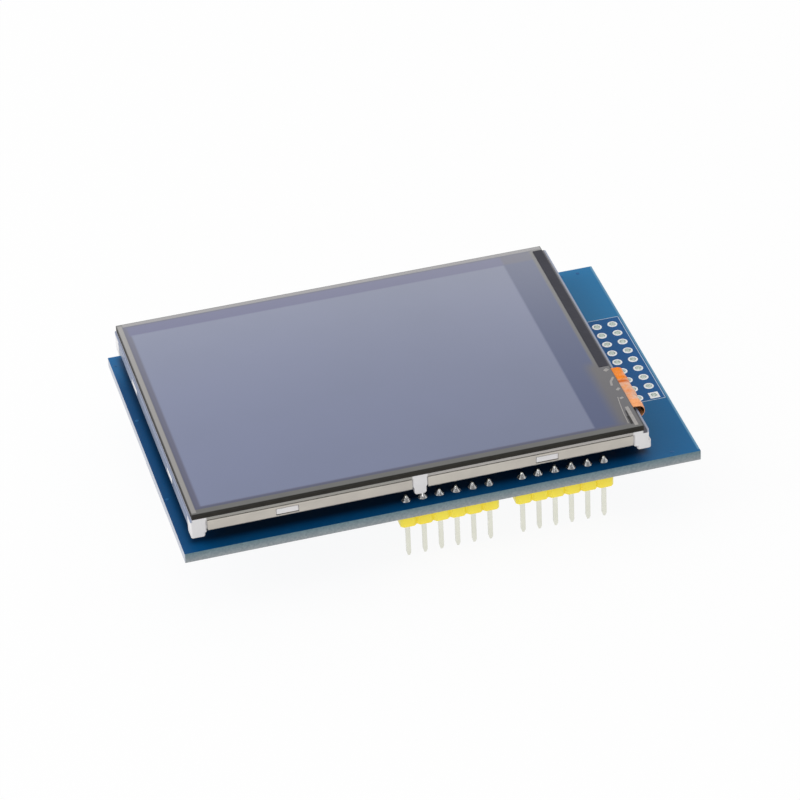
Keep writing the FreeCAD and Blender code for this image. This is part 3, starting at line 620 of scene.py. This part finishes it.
def steel_material(name, colour, second):
    """Rolled sheet, with a painted blue reflection of the board on the tray's left wall."""
    material, tree, surface = new_material(name, Metallic=1.0)
    patches = place_effect(tree, mottle, Colour=colour, Second_colour=second, Patch_size=5.0,
                           Amount=0.6, Smooth=0.30, Rough=0.42)
    # Painted reflection: the tray's left wall is painted blue-grey, as a mirror image of the blue board.
    painted_reflection_left_wall = srgb(128, 140, 164), -40.0, -37.9, -25.2, 30.0, 0.1
    tree.links.new(tinted(tree, patches.outputs["Colour"], painted_reflection_left_wall), surface.inputs["Base Color"])
    tree.links.new(patches.outputs["Roughness"], surface.inputs["Roughness"])
    add_bump(tree, surface, rolled_lines(tree, 0.08, 4.0), 0.004)
    return material


tray_steel = steel_material("tray_steel", srgb(191, 186, 177), srgb(174, 169, 163))
softened("tray", "steel_tray", tray_steel, 0.04)


# Moulded frame
# White polycarbonate, moulded around the tray's walls: a rim above, posts with feet in the
# open corners, a tab in the middle of each long side, and hooks that snap into the windows.
def moulding_material():
    material, tree, surface = new_material("white_moulding", Coat_Weight=0.1, Coat_Roughness=0.3)
    patches = place_effect(tree, mottle, Colour=srgb(227, 225, 225), Second_colour=srgb(217, 216, 218),
                           Patch_size=4.0, Amount=0.6, Smooth=0.38, Rough=0.52)
    height = components(tree, "ShaderNodeTexCoord", "Object")["Z"]
    rim_bottom = 14.76
    rim = math_node(tree, "GREATER_THAN", height, rim_bottom * mm)
    # The long rims are painted greyer between the posts and the tabs. Painted shade: the left rim is painted
    # blue-grey, a dark strip of painted shadow lies beside the panel, and the right rim is painted a lighter
    # blue-grey.
    long_rims_left = srgb(150, 148, 142), -35.7, -4.7, -27.0, 27.0, 0.3
    long_rims_right = srgb(172, 168, 164), -2.4, 29.3, -27.0, 27.0, 0.3
    painted_shade_left_rim = srgb(136, 146, 172), -40.0, -37.85, -27.0, 27.0, 0.3
    painted_shadow_beside_panel = srgb(76, 74, 84), 30.8, 31.5, -27.0, 27.0, 0.3
    right_rim = srgb(160, 170, 194), 31.5, 33.0, -27.0, 27.0, 0.3
    rim_with_painted_shade = tinted(tree, patches.outputs["Colour"], long_rims_left, long_rims_right, painted_shade_left_rim,
                        painted_shadow_beside_panel, right_rim)
    colour = mixed(tree, rim, patches.outputs["Colour"], rim_with_painted_shade)
    tree.links.new(colour, surface.inputs["Base Color"])
    tree.links.new(patches.outputs["Roughness"], surface.inputs["Roughness"])
    fine = place_effect(tree, mottle, Patch_size=0.15)
    add_bump(tree, surface, fine.outputs["Height"], 0.004)
    return material


softened("frame", "plastic_frame", moulding_material(), 0.07)


# Backlight
# A white reflector, a clear acrylic light guide with a row of lamps on a small flex at its
# right end, a milky diffuser and two prism films, all laid loose in the tray.
dress(nodes["backlight_reflector"],
      finish("reflector_film", srgb(240, 240, 240), srgb(230, 231, 233), 4.0, 0.25, 0.4, 0.3, 0.003))
dress(nodes["light_guide"],
      finish("light_guide_acrylic", srgb(228, 236, 236), srgb(214, 226, 228), 8.0, 0.04, 0.1, 0.6, 0.002,
             Transmission_Weight=0.7, IOR=1.49))
for film, grain in (("diffuser_film", 0.12), ("lower_prism_film", 0.05), ("upper_prism_film", 0.05)):
    dress(nodes[film], finish(film + "_surface", srgb(222, 226, 232), srgb(208, 213, 222), 3.0, 0.35, 0.55,
                              grain, 0.004))
dress(nodes["backlight_leds"],
      finish("lamp_package", srgb(244, 240, 225), srgb(236, 214, 120), 1.6, 0.3, 0.5, 0.2, 0.004))
dress(nodes["led_flex"],
      finish("lamp_flex", srgb(214, 130, 40), srgb(190, 104, 24), 1.5, 0.25, 0.4, 0.3, 0.004))


# Display cell
# Two thin glass sheets with liquid crystal between them and a polarizing film on each face.
# The lower glass is longer, and its ledge carries the driver chip.
for glass in ("tft_glass", "cover_glass"):
    dress(nodes[glass], finish(glass + "_surface", srgb(150, 158, 166), srgb(134, 143, 152), 6.0, 0.03, 0.08,
                               2.0, 0.001, Transmission_Weight=0.5, IOR=1.52))
for film in ("rear_polarizer", "front_polarizer"):
    dress(nodes[film], finish(film + "_surface", srgb(92, 94, 118), srgb(82, 84, 106), 8.0, 0.2, 0.32,
                              0.1, 0.002))
dress(nodes["driver_chip"],
      finish("driver_silicon", srgb(74, 74, 82), srgb(58, 58, 66), 1.2, 0.1, 0.2, 0.4, 0.002))


# Display flex
# Polyimide strip with copper tracks, bonded on the glass ledge, folded round the tray's end
# and soldered to the board below it with one bar of solder a track.
orange = finish("polyimide", srgb(238, 132, 34), srgb(220, 108, 20), 1.6, 0.14, 0.26, 0.5, 0.01,
                Coat_Weight=0.7, Coat_Roughness=0.08)
softened("display_ribbon", "display_flex", orange, 0.03)
softened("ribbon_solder", "flex_solder", solder, 0.05)


# Touch panel
# Glass with a flexible clear film above it, held apart by a black adhesive ring. The film's
# border shows the frame and the conductors below it, and its middle the dark display.
def touch_film_material():
    material, tree, surface = new_material("touch_film_over_display", Coat_Roughness=0.04, IOR=1.4)
    border = place_effect(tree, mottle, Colour=srgb(95, 95, 92), Second_colour=srgb(84, 84, 84),
                          Patch_size=5.0, Amount=0.7, Smooth=0.25, Rough=0.35)
    screen = place_effect(tree, mottle, Colour=srgb(112, 120, 152), Second_colour=srgb(106, 115, 143),
                          Patch_size=40.0, Amount=0.8, Smooth=0.29, Rough=0.36)
    left_border = srgb(142, 139, 136), -37.7, -37.0, -25.2, 25.6, 0.15
    far_border = srgb(142, 140, 142), -36.9, 30.7, 25.1, 25.9, 0.12
    dark_border = srgb(68, 71, 100), -37.0, 29.3, -24.5, 25.15, 0.3
    cell = srgb(78, 80, 106), -36.7, 28.9, -24.1, 24.9, 0.6
    far_strip = srgb(80, 84, 128), -36.4, 23.9, 22.3, 24.9, 0.7
    driver_ledge = srgb(60, 74, 116), 23.5, 28.9, -24.1, 22.6, 0.8
    right_border = srgb(98, 97, 97), 28.75, 31.0, -24.6, 25.2, 0.6
    beside_tail = srgb(90, 88, 92), 27.6, 31.0, -24.6, -8.0, 2.4
    lit_part = screen.outputs["Colour"], -36.1, 23.85, -23.9, 22.5, 0.5
    colour = tinted(tree, border.outputs["Colour"], left_border, far_border, dark_border, cell, far_strip,
                    driver_ledge, right_border, beside_tail, lit_part)
    inside_edge = place_effect(tree, field, Left=-37.75, Right=30.8, Near=-25.5, Far=25.9, Edge=0.1)
    colour = mixed(tree, inside_edge.outputs["Mask"], srgb(40, 38, 34), colour)
    outward = components(tree, "ShaderNodeNewGeometry", "Normal")["Z"]
    upper = math_node(tree, "GREATER_THAN", outward, 0.7)
    tree.links.new(mixed(tree, upper, srgb(32, 30, 24), colour), surface.inputs["Base Color"])
    tree.links.new(upper, surface.inputs["Coat Weight"])
    rough = mixed(tree, upper, 0.8, screen.outputs["Roughness"], "FLOAT")
    tree.links.new(rough, surface.inputs["Roughness"])
    return material


softened("touch_film_sheet", "touch_film", touch_film_material(), 0.03)
dress(nodes["touch_glass"],
      finish("touch_glass_edge", srgb(40, 37, 30), srgb(28, 26, 22), 2.0, 0.5, 0.7, 0.6, 0.01,
             Specular_IOR_Level=0.2))
ring_black = finish("adhesive_ring", srgb(34, 32, 31), srgb(24, 23, 23), 1.5, 0.5, 0.7, 0.2, 0.006)
dress(nodes["touch_gasket"], ring_black)
dress(nodes["touch_spacer"], ring_black)


# Silver conductors and tape on the touch panel
# Printed silver paste leads the film's and the glass's coatings to the tail, and shows as grey
# patches and lines beside it. A strip of black tape covers the rest of that edge.
film_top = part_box("touch_film")[1].z / mm
paste = 0.008


def silver_lines():
    shape = bmesh.new()
    for path, width in (
        ([(30.0, -20.2), (30.0, -25.1)], 0.55),
        ([(29.75, -17.9), (30.3, -17.7)], 0.4),
        ([(30.0, -15.7), (30.5, -15.2)], 0.45),
        ([(30.55, -12.2), (29.85, -13.2), (29.65, -14.3)], 0.35),
        ([(29.8, -10.3), (30.4, -9.9)], 0.6),
        ([(29.55, -17.4), (29.3, -19.3), (29.05, -22.0), (28.95, -24.3)], 0.14),
    ):
        flat_strip(shape, path, width, film_top, paste)
    return shape


silver = finish("silver_print", srgb(160, 155, 152), srgb(132, 129, 126), 0.5, 0.3, 0.5, 0.2, 0.004,
                Metallic=0.2, Coat_Weight=0.8, Coat_Roughness=0.05)
new_piece("silver_lines", silver_lines(), silver)


def dark_lines():
    """Gaps in the silver, where the black ring shows."""
    shape = bmesh.new()
    flat_strip(shape, [(29.57, -21.1), (29.5, -22.6)], 0.2, film_top, paste)
    flat_strip(shape, [(29.48, -22.55), (29.44, -24.6)], 0.42, film_top, paste)
    return shape


new_piece("dark_lines", dark_lines(), ring_black)
dress(nodes["edge_tape"],
      finish("black_tape", srgb(31, 31, 47), srgb(24, 24, 38), 3.0, 0.29, 0.40, 1.2, 0.01,
             Specular_IOR_Level=0.35))


# Touch tail
# Amber polyimide with four copper tracks between its layers. It leaves the touch glass under
# the film, curls over the frame's side and ends on the board below the display.
def tail_material(name, colour, painted_highlight):
    """Amber film with a deep far end, a crease of painted shade, crumpled pale patches of painted highlight,
    a peach near end of painted light and painted shade on its inner side.
    """
    material, tree, surface = new_material(name, Coat_Weight=0.12, Coat_Roughness=0.12,
                                           Specular_IOR_Level=0.15)
    # The pale patches are painted highlights.
    patches = place_effect(tree, mottle, Colour=colour, Second_colour=painted_highlight, Patch_size=1.3, Amount=1.0,
                           Smooth=0.14, Rough=0.26)
    far_end = srgb(252, 138, 4), 29.0, 34.0, -12.9, -9.0, 0.9
    # Painted shade in the crease, and painted light at the peach near end.
    painted_shade_crease = srgb(218, 104, 2), 29.0, 34.0, -13.7, -13.1, 0.5
    painted_light_near_end = srgb(255, 172, 112), 29.0, 34.0, -21.0, -18.4, 0.9
    shade = tinted(tree, patches.outputs["Colour"], far_end, painted_shade_crease, painted_light_near_end)
    # Painted shade: the inner side of the curl, facing inwards and downwards, is painted dark amber.
    normal = components(tree, "ShaderNodeNewGeometry", "Normal")
    outward = math_node(tree, "ADD", normal["X"], normal["Z"])
    inner = math_node(tree, "LESS_THAN", outward, -0.3)
    tree.links.new(mixed(tree, inner, shade, srgb(120, 78, 30)), surface.inputs["Base Color"])
    tree.links.new(patches.outputs["Roughness"], surface.inputs["Roughness"])
    crumple = place_effect(tree, mottle, Patch_size=1.6)
    add_bump(tree, surface, crumple.outputs["Height"], 0.16)
    return material


tail_film = tail_material("tail_polyimide", srgb(250, 146, 44), srgb(232, 192, 166))
tail_copper = tail_material("tail_copper", srgb(244, 140, 48), srgb(236, 204, 186))


def tail_path():
    """Middle line of the tail in the plane of X and Z, in millimetres, with its normals."""
    steps = 8
    top, foot = 15.95, 10.20
    out, side = 32.89, 31.93
    corners = [(30.0, top), (out, top), (out, 14.50), (side, 13.54), (side, foot), (26.7, foot)]
    radii = (0, 1.0, 1.0, 1.0, 0.70, 0)
    points = []
    for i, (x, z) in enumerate(corners):
        corner = Vector((x, z))
        if radii[i] == 0:
            run = (Vector(corners[1]) - corner) if i == 0 else (corner - Vector(corners[i - 1]))
            run.normalize()
            points.append((x, z, -run.y, run.x))
            continue
        before = (corner - Vector(corners[i - 1])).normalized()
        after = (Vector(corners[i + 1]) - corner).normalized()
        turn = before.angle(after)
        hand = math.copysign(1.0, before.x * after.y - before.y * after.x)
        start = corner - before * radii[i] * math.tan(turn / 2)
        inward = Vector((-before.y, before.x)) * hand
        centre = start + inward * radii[i]
        for step in range(steps + 1):
            angle = hand * turn * step / steps
            arm = -inward
            arm = Vector((arm.x * math.cos(angle) - arm.y * math.sin(angle),
                          arm.x * math.sin(angle) + arm.y * math.cos(angle)))
            spot = centre + arm * radii[i]
            points.append((spot.x, spot.y, -arm.x * hand, -arm.y * hand))
    return points


def tail_band(near, far, inner, outer, across):
    """Band between two heights over the tail's middle line, rippled in its free upper curl."""
    shape = bmesh.new()
    rings = []
    free_from_x, free_from_z, ripple_depth = 31.2, 13.6, 0.05
    for x, z, out_x, out_z in tail_path():
        free = min(max((x - free_from_x) / 0.8, 0.0), 1.0) * min(max(z - free_from_z, 0.0), 1.0)
        ring = []
        for level, order in ((inner, range(across + 1)), (outer, range(across, -1, -1))):
            for k in order:
                y = near + (far - near) * k / across
                ripple = ripple_depth * (math.sin(1.9 * y) - 1) * free
                ring.append(shape.verts.new(((x + out_x * (level + ripple)) * mm, y * mm,
                                             (z + out_z * (level + ripple)) * mm)))
        rings.append(ring)
    for first, second in zip(rings, rings[1:]):
        for k in range(len(first)):
            shape.faces.new((first[k], first[k - 1], second[k - 1], second[k]))
    shape.faces.new(rings[0])
    shape.faces.new(rings[-1][::-1])
    return shape


tail_near, tail_far = -20.30, -9.70
track_pitch, track_width = 2.45, 1.75
new_piece("tail_ribbon", tail_band(tail_near, tail_far, -0.055, 0.045, 40), tail_film,
          ["touch_tail"])
for number in range(4):
    near = tail_near + 0.75 + track_pitch * number
    new_piece("tail_track_" + str(number + 1), tail_band(near, near + track_width, 0.03, 0.058, 6),
              tail_copper)


# Memory card socket
# Black moulded base under a shell of stainless sheet with two spring tongues and four solder
# lugs. Eight gilt springs rise into the slot.
shell_steel = steel_material("shell_steel", srgb(206, 206, 204), srgb(186, 187, 186))
softened("socket_shell", "card_socket_shell", shell_steel, 0.04)
black = finish("black_moulding", srgb(42, 42, 45), srgb(32, 32, 35), 1.5, 0.45, 0.6, 0.1, 0.008)
softened("socket_base", "card_socket_body", black, 0.05)
gilt = finish("gilt_spring", srgb(226, 186, 104), srgb(206, 164, 82), 0.8, 0.2, 0.3, 0.3, 0.003, Metallic=1.0)
softened("socket_springs", "card_socket_contacts", gilt, 0.03)


# Chips and regulator
# Moulded epoxy bodies around folded tinned leads, soldered flat on the board's underside. The
# solder runs out from under each foot.
for side in ("left", "right"):
    softened(side + "_chip", side + "_level_shifter_body", black, 0.08)
    softened(side + "_chip_leads", side + "_level_shifter_leads", pin_metal, 0.03)
softened("regulator", "regulator_body", black, 0.08)
softened("regulator_legs", "regulator_leads", pin_metal, 0.04)


def lead_fillets():
    """Solder that runs out from under each lead's foot."""
    shape = bmesh.new()
    low = board_low.z / mm
    thick = -0.10
    for first_lead in (-12.915, 2.485):
        for i in range(10):
            for y in (-4.25, 6.25):
                disc(shape, first_lead + lead_pitch * i, y, 0.34, low, thick, 14)
    for leg in (20.2, 22.5, 24.8):
        disc(shape, leg, 10.4, 0.5, low, thick, 16)
    for tab in (21.5, 22.5, 23.5):
        disc(shape, tab, 17.6, 0.5, low, thick, 16)
    return shape


new_piece("lead_fillets", lead_fillets(), solder)


# Capacitors and resistors
# Small ceramic blocks with tinned ends, laid by machine and soldered. The capacitors are
# brown all through, and the resistors have a black glaze on one face.
softened("capacitors", "capacitor_bodies",
         finish("brown_ceramic", srgb(150, 116, 84), srgb(132, 98, 68), 0.8, 0.4, 0.55, 0.1, 0.004),
         0.05)
softened("capacitor_caps", "capacitor_ends", solder, 0.06)
softened("resistors", "resistor_bodies",
         finish("black_glaze", srgb(36, 36, 38), srgb(24, 24, 26), 0.8, 0.25, 0.4, 0.15, 0.004),
         0.04)
softened("resistor_caps", "resistor_ends", solder, 0.05)


# Studio
# A white light table under the pins, soft lamps at the left and in front, a white tent that is
# open and dark towards the camera, and the camera where the photograph was taken from.
def floor_material():
    """Light table: a bright sheet that glows, and still takes the object's shadow."""
    material, tree, surface = new_material("studio_floor", Base_Color=(0.94, 0.94, 0.94, 1), Roughness=0.9)
    glow = tree.nodes.new("ShaderNodeEmission")
    glow.inputs["Color"].default_value = (1, 1, 1, 1)
    mix = tree.nodes.new("ShaderNodeMixShader")
    mix.inputs["Fac"].default_value = 0.93
    tree.links.new(surface.outputs[0], mix.inputs[1])
    tree.links.new(glow.outputs[0], mix.inputs[2])
    tree.links.new(mix.outputs[0], tree.nodes["Material Output"].inputs["Surface"])
    return material


floor_shape = bmesh.new()
bmesh.ops.create_grid(floor_shape, x_segments=1, y_segments=1, size=3.0)
floor_mesh = bpy.data.meshes.new("floor")
floor_shape.to_mesh(floor_mesh)
floor_shape.free()
floor = bpy.data.objects.new("floor", floor_mesh)
floor.location.z = -0.1 * mm
bpy.context.scene.collection.objects.link(floor)
dress(floor, floor_material())

world = bpy.data.worlds.new("studio")
bpy.context.scene.world = world
world.use_nodes = True
tent = world.node_tree
background = tent.nodes["Background"]
background.inputs["Color"].default_value = (1, 1, 1, 1)
away = components(tent, "ShaderNodeTexCoord", "Generated")["Y"]
front = soft_step(tent, away, -0.75, -0.10)
front.inputs["To Min"].default_value = 0.22
front.inputs["To Max"].default_value = 0.95
seen = tent.nodes.new("ShaderNodeLightPath").outputs["Is Camera Ray"]
tent.links.new(math_node(tent, "MAXIMUM", front.outputs[0], seen), background.inputs["Strength"])


def area_lamp(name, place, size, power):
    """Square lamp that faces the object."""
    lamp = bpy.data.lights.new(name, "AREA")
    lamp.shape = "SQUARE"
    lamp.size = size
    lamp.energy = power
    holder = bpy.data.objects.new(name, lamp)
    holder.location = place
    holder.rotation_mode = "QUATERNION"
    holder.rotation_quaternion = (-Vector(place)).to_track_quat("-Z", "Y")
    bpy.context.scene.collection.objects.link(holder)


area_lamp("lamp_left", (-0.60, 0.10, 0.42), 0.40, 1.6)
area_lamp("lamp_front", (-0.10, -0.90, 0.12), 0.50, 2.2)

azimuth, elevation, roll = math.radians(-13.96), math.radians(35.12), math.radians(-2.90)
aim, distance = Vector((0.57, 0.73, 10.14)) * mm, 0.59881
back = Vector((math.sin(azimuth) * math.cos(elevation), -math.cos(azimuth) * math.cos(elevation),
               math.sin(elevation)))
level_right = (-back).cross(Vector((0, 0, 1))).normalized()
level_up = level_right.cross(-back)
right = math.cos(roll) * level_right + math.sin(roll) * level_up
up = -math.sin(roll) * level_right + math.cos(roll) * level_up
place = aim + back * distance
camera_data = bpy.data.cameras.new("camera")
camera_data.sensor_width = 36.0
camera_data.lens = 176.755
camera_data.clip_start = 0.01
camera_data.clip_end = 20.0
camera = bpy.data.objects.new("camera", camera_data)
camera.matrix_world = Matrix((
    (right.x, up.x, back.x, place.x),
    (right.y, up.y, back.y, place.y),
    (right.z, up.z, back.z, place.z),
    (0, 0, 0, 1),
))
bpy.context.scene.collection.objects.link(camera)
bpy.context.scene.camera = camera
bpy.context.scene.view_settings.view_transform = "Standard"
